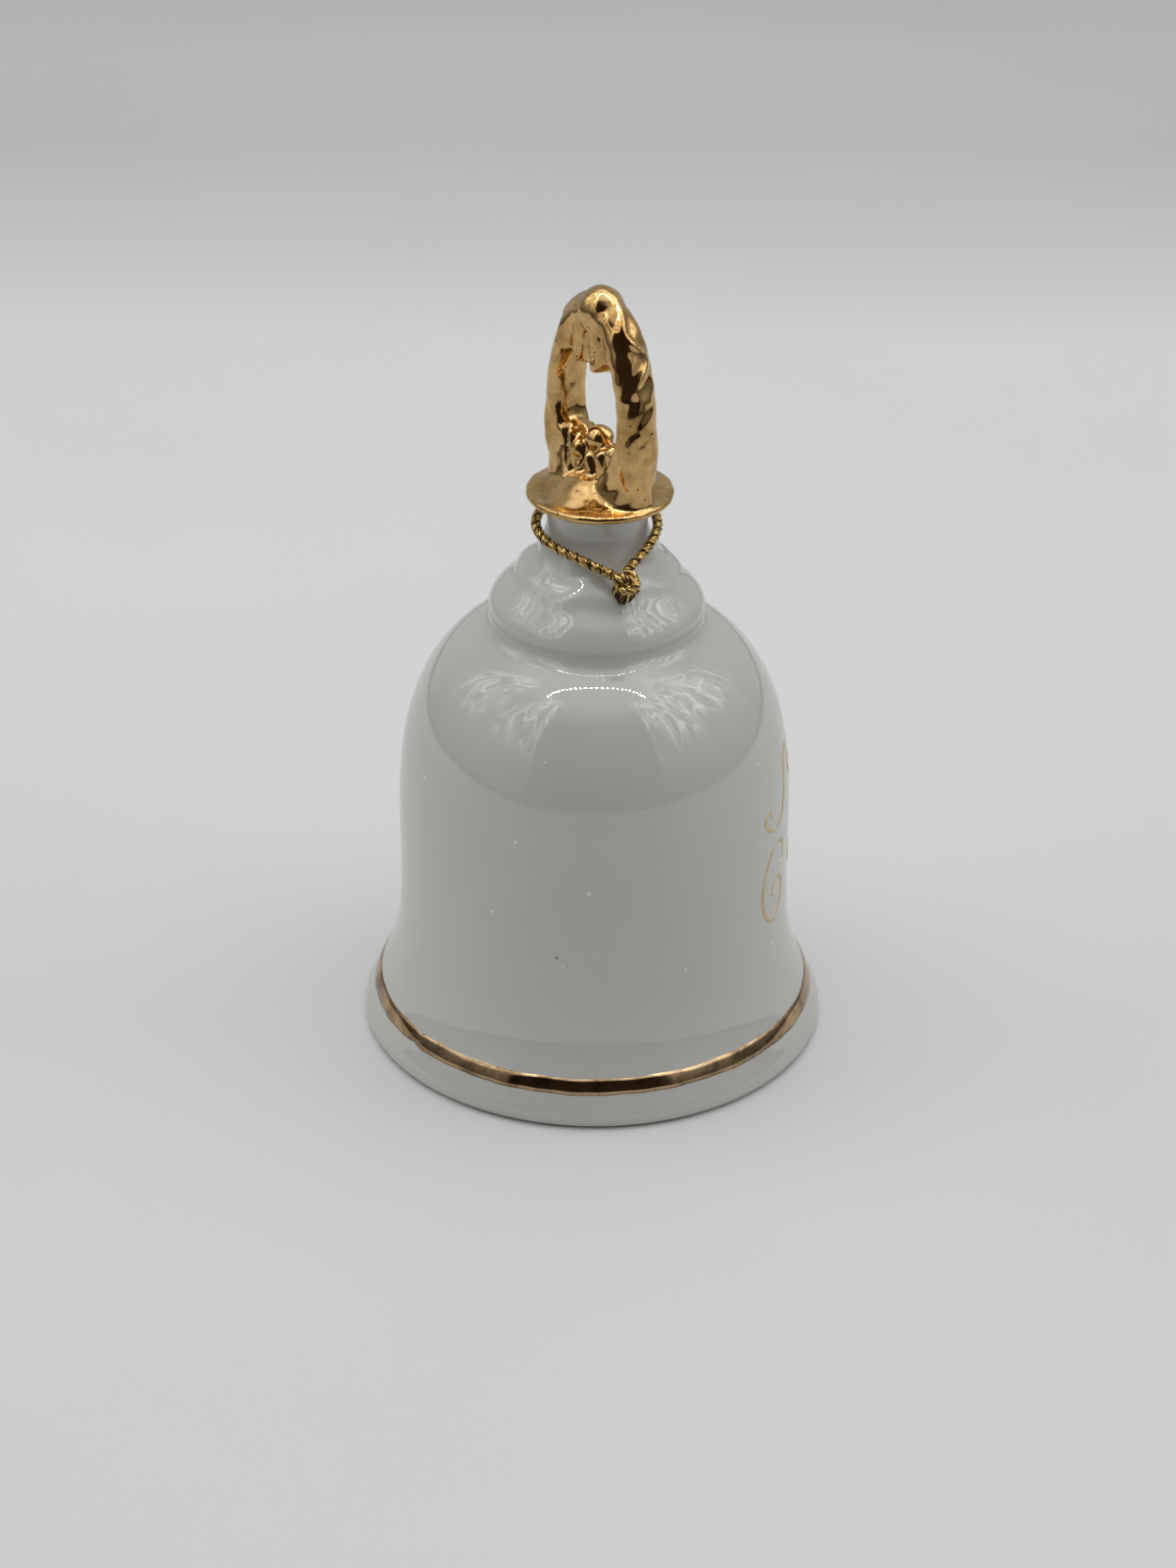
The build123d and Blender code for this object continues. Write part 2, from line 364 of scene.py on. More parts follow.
# ================================================================== outline of the bell
MOUTH_RADIUS = 32.0
LIP_HEIGHT = 1.5
CROWN_HEIGHT = 57.6
NECK_HEIGHT = 78.6
BAND_LOW = 4.9
BAND_WIDTH = 2.0
FILM = 0.05           # thickness of a gilt film
FILM_ROOT = 0.25      # how deep a film reaches into the wall
AROUND = 240
FOLD_HEIGHT = 69.9    # middle of the soft fold in the small dome
FOLD_DEPTH = 0.42
FOLD_LENGTH = 4.8
FOLD_REACH = 2.5
TRUE_FOOT = 0.4       # below this height the outside is flat and true

skirt_outline = [
    (MOUTH_RADIUS, LIP_HEIGHT), (31.3, 3.4), (30.4, 5.4), (28.9, 8.4), (27.6, 12.4),
    (26.8, 19.5), (26.7, 30.0), (26.25, 41.0), (24.4, 49.4), (20.5, 56.2), (15.4, 59.9),
]
groove_outline = [(15.4, 59.9), (14.75, 60.4), (14.3, 61.0), (14.1, 61.8)]
tier_outline = [
    (14.1, 61.8), (14.35, 62.5), (14.5, 63.3), (13.85, 64.9), (11.6, 67.4),
    (8.9, 70.6), (7.2, 73.3), (6.7, 76.2), (7.2, NECK_HEIGHT),
]
cavity_outline = [
    (28.9, 1.0), (27.3, 5.0), (25.6, 9.6), (24.5, 15.0), (24.2, 26.0), (23.9, 37.0),
    (22.5, 45.5), (19.4, 52.0), (14.4, 56.2), (8.0, CROWN_HEIGHT),
]
skirt_line = smooth_line(skirt_outline, 84, start=(0, 1), end=(-1, 0.35))


def glaze_wave(angle, height):
    """Slight unevenness of a hand-finished, glazed wall, in millimetres."""
    slow = 0.045 * sin(2 * angle + 0.09 * height) + 0.03 * sin(5 * angle - 0.13 * height + 1.1)
    quick = 0.012 * sin(11 * angle + 0.5 * height) * sin(0.31 * height + 2.0)
    fold = height - FOLD_HEIGHT - 0.30 * sin(3 * angle + 0.4) - 0.30 * sin(8 * angle + 2.0)
    step = -FOLD_DEPTH * sin(2 * pi * fold / FOLD_LENGTH) * exp(-((fold / FOLD_REACH) ** 2))
    ripple = 0.03 * sin(9 * angle + 1.3 * height) * exp(-(((height - 68) / 5.0) ** 2))
    return slow + quick + step + ripple


def wall_offset(angle, radius, height):
    """How far the outside stands off its plain outline. The foot stays flat and true."""
    outside = 1.0 if radius > 5 and height > TRUE_FOOT else 0.0
    fade = min(max((height - TRUE_FOOT) / 3.0, 0.0), 1.0)
    return outside * fade * glaze_wave(angle, height)


def wall_radius(angle, height):
    """Radius of the finished outside of the skirt at an angle and a height."""
    plain = float(np.interp(height, skirt_line[:, 1], skirt_line[:, 0]))
    return plain + wall_offset(angle, plain, height)


def on_wall(angle, height, lift=0.0):
    """Point on the finished outside of the skirt, or off it by a lift."""
    r = wall_radius(angle, height) + lift
    return (r * sin(angle), -r * cos(angle), height)


def make_shell():
    lip = [(30.6, 0.0), (31.15, 0.12), (31.65, 0.5), (31.93, 1.0)]
    groove = smooth_line(groove_outline, 16, start=(-1, 0.5), end=(0.1, 1))[1:]
    tier = smooth_line(tier_outline, 72, start=(0.1, 1), end=(0.4, 1))[1:]
    outside = [*lip, *skirt_line, *groove, *tier, (0, NECK_HEIGHT)]
    cavity = smooth_line(cavity_outline[::-1], 60, start=(1, -0.1), end=(0.35, -1))
    foot = [(29.02, 0.6), (29.2, 0.22), (29.6, 0.0), (30.1, 0.0)]
    inside = [(0, CROWN_HEIGHT), *cavity, *foot]
    return lathe("porcelain_shell", [*inside, *outside], AROUND, wall_offset)


shell = make_shell()

# ====================================================================== gilt decoration


def film_strip(low_edge, high_edge):
    """Thin closed film on the wall between two lines of (angle, height)."""
    rows = 4
    points, faces = [], []
    for (angle_low, low), (angle_high, high) in zip(low_edge, high_edge):
        for k in range(rows + 1):
            share = k / rows
            angle = angle_low + (angle_high - angle_low) * share
            height = low + (high - low) * share
            at_edge = k in (0, rows)
            points.append(on_wall(angle, height, FILM * (0.25 if at_edge else 1.0)))
        for share in (1.0, 0.0):
            angle = angle_low + (angle_high - angle_low) * share
            points.append(on_wall(angle, low + (high - low) * share, -FILM_ROOT))
    ring = rows + 3
    stations = len(low_edge)
    for station in range(stations - 1):
        a, b = station * ring, (station + 1) * ring
        for k in range(ring):
            n = (k + 1) % ring
            faces.append((a + k, b + k, b + n, a + n))
    faces.append(tuple(range(ring)))
    faces.append(tuple(reversed(range((stations - 1) * ring, stations * ring))))
    return points, faces


BAND_JOIN = radians(175)     # where the brush stroke starts
BAND_OVERLAP = radians(7)    # how far its end laps over its start
BAND_END = BAND_JOIN + 2 * pi + BAND_OVERLAP
BAND_STATIONS = 400


def make_gilt_line():
    """Brushed gold line, a little uneven, whose end laps over its start."""
    low_edge, high_edge = [], []
    for angle in np.linspace(BAND_JOIN, BAND_END, BAND_STATIONS):
        start_fade = 1 - exp(-((angle - BAND_JOIN) / 0.05) ** 2)
        end_fade = 1 - exp(-((BAND_END - angle) / 0.07) ** 2)
        width = BAND_WIDTH * (0.35 + 0.65 * min(start_fade, end_fade))
        wander = 0.10 * sin(angle + 0.6) + 0.05 * sin(3 * angle)
        drift = wander - 0.28 * (1 - start_fade) + 0.25 * (1 - end_fade)
        middle = BAND_LOW + BAND_WIDTH / 2 + drift
        wobble = 0.04 * sin(17 * angle) + 0.03 * sin(41 * angle + 1)
        low_edge.append((angle, middle - width / 2 + wobble))
        high_edge.append((angle, middle + width / 2 + 0.04 * sin(23 * angle + 2)))
    return mesh_object("gilt_rim_line", *film_strip(low_edge, high_edge))


rim_line = make_gilt_line()

# Strokes as (along the wall, height) from the middle of a panel
scroll_volute = [
    (-2.3, 36.9), (-2.7, 38.1), (-3.7, 37.5), (-3.1, 35.7), (0.2, 34.8), (2.6, 37.6),
    (3.4, 41.4), (4.6, 44.0), (6.0, 44.2), (6.0, 42.9), (5.1, 42.8),
]
scroll_loop = [
    (1.2, 29.3), (2.3, 29.2), (2.4, 30.9), (-0.4, 32.2), (-3.6, 28.4), (-3.4, 22.6),
    (-0.6, 20.4), (2.2, 22.6), (1.6, 26.2), (-0.5, 26.4), (-1.1, 24.6), (0.1, 23.8),
]
scroll_wave = [
    (-3.3, 39.9), (-3.9, 39.1), (-4.7, 40.0), (-4.0, 41.5), (-2.0, 40.9), (0.0, 39.3),
    (2.0, 37.7), (4.0, 37.1), (4.7, 38.6), (3.9, 39.5), (3.3, 38.7),
]
SCROLL_MIDDLE = 32.5   # height about which the lower row mirrors the upper
scroll_tail = [(-along, 2 * SCROLL_MIDDLE - height) for along, height in scroll_wave]
# (angle from the front in degrees, strokes), the same on both sides
scroll_panels = (
    (62.0, (scroll_volute, scroll_loop)),
    (37.0, (scroll_wave, scroll_tail)),
    (12.0, (scroll_wave, scroll_tail)),
)
PEN_THIN = 0.28
PEN_WIDE = 0.85


def pen_stroke(points, panel_angle, side):
    """One stroke of a broad pen on the wall: wide when it runs down, thin when it runs across."""
    line = smooth_line(points, 110)
    low_edge, high_edge = [], []
    ahead = np.gradient(line, axis=0)
    ahead /= np.linalg.norm(ahead, axis=1)[:, None]
    for k, ((along, height), (forward, climb)) in enumerate(zip(line, ahead)):
        end = min(k, len(line) - 1 - k) / 12
        width = (PEN_THIN + (PEN_WIDE - PEN_THIN) * abs(climb) ** 1.5) * min(1.0, 0.3 + 0.7 * end)
        for edge, sign in ((low_edge, -1), (high_edge, 1)):
            across = along - sign * climb * width / 2
            up = height + sign * forward * width / 2
            plain = float(np.interp(up, skirt_line[:, 1], skirt_line[:, 0]))
            edge.append((radians(side * panel_angle) + asin(-side * across / plain), up))
    if side > 0:
        low_edge, high_edge = high_edge, low_edge
    return film_strip(low_edge, high_edge)


def make_scrolls():
    parts = []
    for side in (-1, 1):
        for panel_angle, strokes in scroll_panels:
            for stroke in strokes:
                parts.append(pen_stroke(stroke, panel_angle, side))
    return mesh_object("gilt_scrollwork", *gather(parts))


scrolls = make_scrolls()

# ============================================================================== handle
HANDLE_VOXEL = 0.21
HANDLE_LEAN = camera_right * 0.3   # luted on slightly off the axis
# (x, height, half thickness in the plane of the loop, half depth) up one stem to the top
loop_stations = [
    (5.5, 79.2, 3.9, 4.1), (5.9, 81.2, 3.4, 3.5), (6.5, 83.6, 2.85, 2.95), (7.15, 86.2, 2.4, 2.75),
    (7.6, 88.8, 1.95, 2.75), (7.65, 92.6, 1.6, 2.9), (7.05, 96.2, 1.4, 3.0), (6.25, 98.9, 1.4, 3.0),
    (5.2, 101.6, 1.4, 2.85), (3.2, 104.2, 1.5, 2.6), (0.0, 105.6, 1.6, 2.5),
]
SECTION_POINTS = 46
SECTION_INNER_POINTS = 7   # of these, how many lie on the inner face


def stem_section(thick, depth, height):
    """D-shaped section as (outward, across): crisp edges, a soft inner face, full round outside."""
    swell = 0.42 + 0.14 * sin(0.9 * height + 0.6)
    flank = -thick - 0.72 * swell
    section = [(flank, 0.5 * depth), (-thick - swell, 0.0), (flank, -0.5 * depth)]
    section += [(-0.98 * thick, -0.82 * depth), (-0.74 * thick, -0.985 * depth)]
    vein = 26 * sin(0.95 * (height - 94.5))
    rise = 0.5 * exp(-(((height - 101) / 5.5) ** 4))
    for angle in np.linspace(-78, 78, SECTION_POINTS - SECTION_INNER_POINTS):
        c, s = cos(radians(angle)), sin(radians(angle))
        ridge = rise * exp(-(((angle - vein) / 13) ** 2))
        lip = 1.0 if abs(s) < 0.97 else 1.01
        section.append((thick * (1.72 * c ** 0.85 - 0.72) + ridge, depth * s * lip))
    section += [(-0.74 * thick, 0.985 * depth), (-0.98 * thick, 0.82 * depth)]
    return section


def loop_form():
    """Loop of the handle: one stem, the top and the other stem in one sweep."""
    half = smooth_line(loop_stations, 90)
    whole = np.concatenate([half, half[-2::-1] * (-1, 1, 1, 1)])
    ahead = np.gradient(whole[:, :2], axis=0)
    ahead /= np.linalg.norm(ahead, axis=1)[:, None]
    points = []
    for (x, z, thick, depth), (ax, az) in zip(whole, ahead):
        for out, across in stem_section(thick, depth, z):
            points.append((x + az * out, across, z - ax * out))
    return points, skin(len(whole), SECTION_POINTS)


def nearest(points, line):
    """Distance of each point from a line of straight runs, and how far along it, 0 to 1."""
    line = np.array(line, float)
    runs = np.linalg.norm(np.diff(line, axis=0), axis=1)
    at = np.concatenate([[0], np.cumsum(runs)]) / runs.sum()
    best = np.full(len(points), 1e9)
    share = np.zeros(len(points))
    for k, (start, run) in enumerate(zip(line, np.diff(line, axis=0))):
        t = np.clip(((points - start) @ run) / (run @ run), 0, 1)
        gap = np.linalg.norm(points - start - t[:, None] * run, axis=1)
        closer = gap < best
        best[closer] = gap[closer]
        share[closer] = (at[k] + t * (at[k + 1] - at[k]))[closer]
    return best, share


def inside_outline(points, outline):
    """Whether each point lies inside a closed outline."""
    inside = np.zeros(len(points), bool)
    for (x1, z1), (x2, z2) in zip(outline, np.roll(outline, -1, axis=0)):
        crosses = (z1 > points[:, 1]) != (z2 > points[:, 1])
        with np.errstate(divide="ignore", invalid="ignore"):
            left = points[:, 0] < (x2 - x1) * (points[:, 1] - z1) / (z2 - z1) + x1
        inside ^= crosses & left
    return inside


# Petals: (line of (x, height) on the face, half width, how far it stands up)
crown_petals = [
    ([(3.4, 104.6), (4.5, 101.5), (4.7, 98.0)], 1.15, 1.15),
    ([(1.6, 105.4), (2.3, 101.8), (2.4, 97.2)], 1.05, 1.3),
    ([(-0.3, 105.4), (-1.1, 101.8), (-0.9, 96.6)], 1.6, 1.15),
    ([(-2.6, 104.4), (-3.6, 101.2), (-3.9, 97.6)], 1.15, 0.9),
]
# Dimples: (place on the face, radius, depth)
crown_dimples = [
    ((-0.9, 99.8), 0.5, 0.9), ((-0.8, 98.9), 0.42, 0.8), ((3.4, 101.4), 0.35, 0.9), ((3.5, 100.2), 0.35, 0.9),
]
foot_petals = [
    ([(6.6, 87.0), (6.1, 84.6), (5.6, 82.0)], 0.7, 0.75),
    ([(5.4, 87.9), (4.7, 85.6), (4.3, 82.9)], 0.8, 1.1),
    ([(3.7, 87.6), (3.1, 84.8), (2.9, 82.2)], 0.62, 0.95),
    ([(2.2, 86.8), (1.8, 84.2), (1.6, 81.4)], 0.78, 1.15),
    ([(0.3, 84.9), (-0.2, 82.9), (-0.3, 80.9)], 0.85, 0.85),
    ([(-1.9, 86.4), (-2.2, 84.0), (-2.1, 81.4)], 0.8, 0.9),
    ([(-3.9, 87.3), (-4.0, 84.8), (-3.5, 82.2)], 0.85, 0.8),
    ([(-5.8, 87.3), (-5.6, 84.6), (-5.2, 82.2)], 0.8, 0.6),
]
foot_dimples = [((1.8, 84.0), 0.4, 0.7), ((4.3, 82.7), 0.42, 0.6), ((-3.9, 84.6), 0.35, 0.4)]
crown_outline = [
    (-6.0, 99.3), (-4.6, 98.4), (-3.2, 97.9), (-1.4, 96.6), (0.0, 96.3), (1.2, 96.9), (2.6, 97.1),
    (4.0, 97.5), (6.0, 98.8), (6.2, 101.4), (3.4, 105.0), (0, 106.0), (-3.4, 105.0), (-6.2, 101.4),
]
foot_outline = [
    (-6.6, 79.6), (6.6, 79.6), (6.9, 84.0), (6.9, 87.4), (5.4, 88.2), (3.5, 87.8), (1.9, 86.6),
    (0, 85.8), (-1.9, 86.4), (-3.8, 87.6), (-5.6, 87.8), (-6.9, 87.4), (-6.9, 84.0),
]
PANEL_CELL = 0.17   # of the grid that a panel is made on
PANEL_HEM = 0.9     # width of the rounded edge


def relief_panel(outline, base_depth, petals, dimples):
    """Panel between the stems with raised petals on both faces. One face is the other turned about."""
    outline = np.array(outline, float)
    low, high = outline.min(0) - PANEL_CELL, outline.max(0) + PANEL_CELL
    columns = np.arange(low[0], high[0] + PANEL_CELL, PANEL_CELL)
    rows = np.arange(low[1], high[1] + PANEL_CELL, PANEL_CELL)
    grid = np.array([(x, z) for z in rows for x in columns])
    inside = inside_outline(grid, outline)
    edge, _ = nearest(grid, np.concatenate([outline, outline[:1]]))
    rounded = np.sqrt(np.clip(1 - (1 - np.clip(edge / PANEL_HEM, 0, 1)) ** 2, 0, 1))
    body = np.where(inside, rounded, 0)

    def face_depth(turned):
        places = grid * (turned, 1)
        rise = np.zeros(len(grid))
        for line, half_width, height in petals:
            gap, share = nearest(places, smooth_line(line, 12))
            width = half_width * np.sin(pi * (0.1 + 0.8 * share)) ** 0.7
            rise = np.maximum(rise, height * np.sqrt(np.clip(1 - (gap / width) ** 2, 0, 1)))
        for centre, radius, depth in dimples:
            gap = np.linalg.norm(places - centre, axis=1)
            rise = rise - depth * np.exp(-((gap / radius) ** 2))
        return body * (base_depth + rise)

    front, back = face_depth(1), face_depth(-1)
    points = [(x, y, z) for (x, z), y in zip(grid, front)]
    points += [(x, -y, z) for (x, z), y in zip(grid, back)]
    width, total, faces = len(columns), len(grid), []
    for row in range(len(rows) - 1):
        for column in range(width - 1):
            k = row * width + column
            corners = (k, k + 1, k + width + 1, k + width)
            if body[list(corners)].max() > 0:
                faces.append(tuple(reversed(corners)))
                faces.append(tuple(c + total for c in corners))
    return points, faces


def collar_form():
    """Collar under the loop, rising gently towards the stems."""
    around = 96
    under = [(0.01, NECK_HEIGHT), (7.2, NECK_HEIGHT), (8.3, 78.62), (9.0, 78.7)]
    rim = [(9.45, 78.8), (9.74, 79.05), (9.79, 79.4), (9.68, 79.75), (9.35, 79.9)]
    top_outline = [(9.35, 79.9), (8.2, 79.85), (6.6, 80.35), (5.0, 81.2), (3.0, 82.3), (0.01, 83.0)]
    profile = [*under, *rim, *smooth_line(top_outline, 20)[1:]]
    points = []
    for radius, height in profile:
        for k in range(around):
            angle = 2 * pi * k / around
            swell = 0.20 * sin(3 * angle + 1.0) + 0.16 * sin(5 * angle + 2.2 - 0.4 * radius)
            rise = swell * exp(-(((radius - 6.3) / 2.2) ** 2)) if height > 79.5 else 0.0
            points.append((radius * cos(angle), radius * sin(angle), height + rise))
    return points, skin(len(profile), around)


def handle_forms():
    """Overlapping closed forms that the casting is made of, none of them lower than its underside."""
    forms = [loop_form(), collar_form()]
    forms.append(relief_panel(crown_outline, 1.35, crown_petals, crown_dimples))
    forms.append(relief_panel(foot_outline, 1.6, foot_petals, foot_dimples))
    forms.append(ellipsoid((0, 0, 104.5), (3.4, 3.0, 3.45)))                           # knop
    forms.append(ellipsoid((0, 0.1, 86.9), (1.9, 1.95, 1.85)))                         # berry
    for side in (-1, 1):
        forms.append(ellipsoid((side * 4.1, 0, 102.0), (1.9, 2.6, 3.1), side * -32))   # shoulder
        forms.append(ellipsoid((side * 2.4, 0, 103.9), (2.1, 2.7, 2.2), side * -20))   # beside the knop
        forms.append(ellipsoid((side * 7.75, 0, 86.8), (1.9, 2.8, 7.2), side * 2))     # fullest part
    lowest = NECK_HEIGHT + 0.1
    return [([(x, y, max(z, lowest)) for x, y, z in points], faces) for points, faces in forms]


def uneven(made):
    """Slight unevenness of thick glaze under the gold."""
    mesh = made.data
    places = np.zeros(len(mesh.vertices) * 3)
    normals = np.zeros(len(mesh.vertices) * 3)
    mesh.vertices.foreach_get("co", places)
    mesh.vertices.foreach_get("normal", normals)
    places, normals = places.reshape(-1, 3) / MM, normals.reshape(-1, 3)
    x, y, z = places.T
    wave = np.sin(x * 1.3 + z * 0.9) * np.sin(y * 1.7 + z * 1.1 + 1)
    places += normals * (0.05 * wave)[:, None]
    mesh.vertices.foreach_set("co", (places * MM).ravel())
    mesh.update()


def make_handle():
    """Weld the forms, fuse them with a voxel remesh and soften the steps it leaves."""
    made = mesh_object("gilt_handle", *gather(handle_forms()))
    weld = bmesh.new()
    weld.from_mesh(made.data)
    bmesh.ops.remove_doubles(weld, verts=weld.verts, dist=1e-7)
    weld.to_mesh(made.data)
    weld.free()
    remesh = made.modifiers.new("remesh", "REMESH")
    remesh.mode = "VOXEL"
    remesh.voxel_size = HANDLE_VOXEL * MM
    soften = made.modifiers.new("soften", "SMOOTH")
    soften.factor = 0.5
    soften.iterations = 7
    apply_modifiers(made)
    uneven(made)
    made.data.transform(Matrix.Translation(HANDLE_LEAN * MM))
    made.data.polygons.foreach_set("use_smooth", [True] * len(made.data.polygons))
    return made


handle = make_handle()

# =========================================================================== materials


def shader_of(name):
    material = bpy.data.materials.new(name)
    material.use_nodes = True
    tree = material.node_tree
    return material, tree, tree.nodes["Principled BSDF"]


def add_node(tree, kind, settings=None, **values):
    """New node with its settings, and its unlinked inputs by name."""
    made = tree.nodes.new(kind)
    for key, value in (settings or {}).items():
        setattr(made, key, value)
    for key, value in values.items():
        made.inputs[key.replace("_", " ")].default_value = value
    return made


def object_place(tree):
    return tree.nodes.new("ShaderNodeTexCoord").outputs["Object"]


def noise(tree, place, scale, detail, roughness=0.5):
    made = add_node(tree, "ShaderNodeTexNoise", Scale=scale, Detail=detail, Roughness=roughness)
    tree.links.new(place, made.inputs["Vector"])
    return made.outputs["Fac"]


def ramp(tree, value, stops):
    """Colour ramp over (position, colour) stops."""
    made = tree.nodes.new("ShaderNodeValToRGB")
    elements = made.color_ramp.elements
    while len(elements) < len(stops):
        elements.new(0.5)
    for element, (position, colour) in zip(elements, stops):
        element.position = position
        element.color = (*colour, 1) if len(colour) == 3 else (colour[0],) * 3 + (1,)
    tree.links.new(value, made.inputs["Fac"])
    return made.outputs["Color"]


def mix(tree, share, first, second, blend="MIX"):
    made = add_node(tree, "ShaderNodeMix", {"data_type": "RGBA", "blend_type": blend})
    sockets = (made.inputs["Factor"], made.inputs[6], made.inputs[7])
    for socket, value in zip(sockets, (share, first, second)):
        if isinstance(value, bpy.types.NodeSocket):
            tree.links.new(value, socket)
        else:
            socket.default_value = value if isinstance(value, float) else (*value, 1)
    return made.outputs[2]


def bump(tree, shader, height, strength, distance, before=None):
    made = add_node(tree, "ShaderNodeBump", Strength=strength, Distance=distance)
    tree.links.new(height, made.inputs["Height"])
    if before is not None:
        tree.links.new(before, made.inputs["Normal"])
    tree.links.new(made.outputs["Normal"], shader.inputs["Normal"])
    return made.outputs["Normal"]


def spots(tree, place, scale, size):
    """Small round spots scattered at random, 1 inside a spot and 0 outside."""
    cells = add_node(tree, "ShaderNodeTexVoronoi", {"feature": "F1"}, Scale=scale, Randomness=1.0)
    tree.links.new(place, cells.inputs["Vector"])
    return ramp(tree, cells.outputs["Distance"], [(0.0, (1,)), (size * 0.6, (1,)), (size, (0,))])


FLAW_TURN = 271.8   # degrees from one flaw to the next
FLAW_CLIMB = 0.57   # share of the flawed height from one flaw to the next
FLAW_LOW = 14.0
FLAW_HIGH = 54.0


def scattered(count, first, size):
    """Places of small flaws in the glaze, spread over the wall: (angle, height, radius)."""
    flaws = []
    for k in range(count):
        height = FLAW_LOW + (FLAW_HIGH - FLAW_LOW) * ((first + FLAW_CLIMB * k) % 1)
        flaws.append((360 * first + FLAW_TURN * k, height, size * (0.8 + 0.4 * sin(k) ** 2)))
    return flaws


def marks(tree, place, places):
    """1 inside any of the small uneven marks, 0 outside."""
    wobble = noise(tree, place, 2600.0, 2.0)
    total = None
    for angle, height, size in places:
        centre = on_wall(radians(angle), height)
        gap = add_node(tree, "ShaderNodeVectorMath", {"operation": "DISTANCE"})
        tree.links.new(place, gap.inputs[0])
        gap.inputs[1].default_value = tuple(c * MM for c in centre)
        inside = add_node(tree, "ShaderNodeMath", {"operation": "LESS_THAN"})
        grown = add_node(tree, "ShaderNodeMath", {"operation": "MULTIPLY_ADD"})
        tree.links.new(wobble, grown.inputs[0])
        grown.inputs[1].default_value = 1.4 * size * MM
        grown.inputs[2].default_value = 0.2 * size * MM
        tree.links.new(gap.outputs["Value"], inside.inputs[0])
        tree.links.new(grown.outputs["Value"], inside.inputs[1])
        if total is None:
            total = inside.outputs["Value"]
            continue
        joined = add_node(tree, "ShaderNodeMath", {"operation": "MAXIMUM"})
        tree.links.new(total, joined.inputs[0])
        tree.links.new(inside.outputs["Value"], joined.inputs[1])
        total = joined.outputs["Value"]
    return total


def porcelain_material():
    material, tree, shader = shader_of("glazed_porcelain")
    place = object_place(tree)
    body_tones = [(0.3, (0.565, 0.562, 0.525)), (0.7, (0.605, 0.602, 0.57))]
    tone = ramp(tree, noise(tree, place, 28, 4), body_tones)
    tone = mix(tree, marks(tree, place, scattered(5, 0.1, 0.18)), tone, (0.16, 0.12, 0.06))
    tone = mix(tree, marks(tree, place, scattered(6, 0.45, 0.27)), tone, (0.90, 0.84, 0.55))
    tone = mix(tree, marks(tree, place, scattered(20, 0.8, 0.24)), tone, (0.80, 0.80, 0.77))
    tree.links.new(tone, shader.inputs["Base Color"])
    gloss = ramp(tree, noise(tree, place, 160, 3), [(0.35, (0.010,)), (0.7, (0.028,))])
    tree.links.new(gloss, shader.inputs["Roughness"])
    shader.inputs["IOR"].default_value = 1.62
    bump(tree, shader, noise(tree, place, 150, 2), 0.05, 0.0001)
    return material


def gilt_material(name, bright, dull, rough_low, rough_high, pit_size):
    """Fired gold: cloudy, with brown pits of two sizes where it is thin."""
    material, tree, shader = shader_of(name)
    place = object_place(tree)
    cloud = noise(tree, place, 260, 6, 0.68)
    tone = ramp(tree, cloud, [(0.36, dull), (0.58, bright)])
    pits = mix(tree, 1.0, spots(tree, place, 620, pit_size), spots(tree, place, 1350, pit_size), "LIGHTEN")
    coloured = mix(tree, pits, tone, (0.10, 0.055, 0.02))
    tree.links.new(coloured, shader.inputs["Base Color"])
    shader.inputs["Metallic"].default_value = 1.0
    wear = noise(tree, place, 330, 4)
    roughness = ramp(tree, wear, [(0.35, (rough_low,)), (0.7, (rough_high,))])
    tree.links.new(roughness, shader.inputs["Roughness"])
    first = bump(tree, shader, noise(tree, place, 520, 3), 0.08, 0.0001)
    bump(tree, shader, pits, -0.35, 0.0001, first)
    return material


def thread_material(name, low, high, roughness):
    """Metallic foil thread, a little uneven along its length."""
    material, tree, shader = shader_of(name)
    place = object_place(tree)
    tone = ramp(tree, noise(tree, place, 1500, 2, 0.6), [(0.36, low), (0.56, high)])
    tree.links.new(tone, shader.inputs["Base Color"])
    shader.inputs["Metallic"].default_value = 0.95
    shader.inputs["Roughness"].default_value = roughness
    bump(tree, shader, noise(tree, place, 3200, 2), 0.2, 0.00005)
    return material


def simple_material(name, low, high, scale, metallic, roughness, bump_strength=0.15):
    """Plain surface whose tone and roughness vary a little, at a scale of its own."""
    material, tree, shader = shader_of(name)
    place = object_place(tree)
    tone = ramp(tree, noise(tree, place, scale, 4), [(0.3, low), (0.7, high)])
    tree.links.new(tone, shader.inputs["Base Color"])
    shader.inputs["Metallic"].default_value = metallic
    wear = noise(tree, place, scale * 2.3, 3)
    worn = ramp(tree, wear, [(0.3, (roughness * 0.8,)), (0.7, (roughness * 1.25,))])
    tree.links.new(worn, shader.inputs["Roughness"])
    bump(tree, shader, noise(tree, place, scale * 4, 3), bump_strength, 0.0001)
    return material


def dress(made, material, body, node):
    """Gives a piece its material and body, and lets it stand for a CAD node."""
    made.data.materials.clear()
    made.data.materials.append(material)
    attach(made, body)
    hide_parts(node)


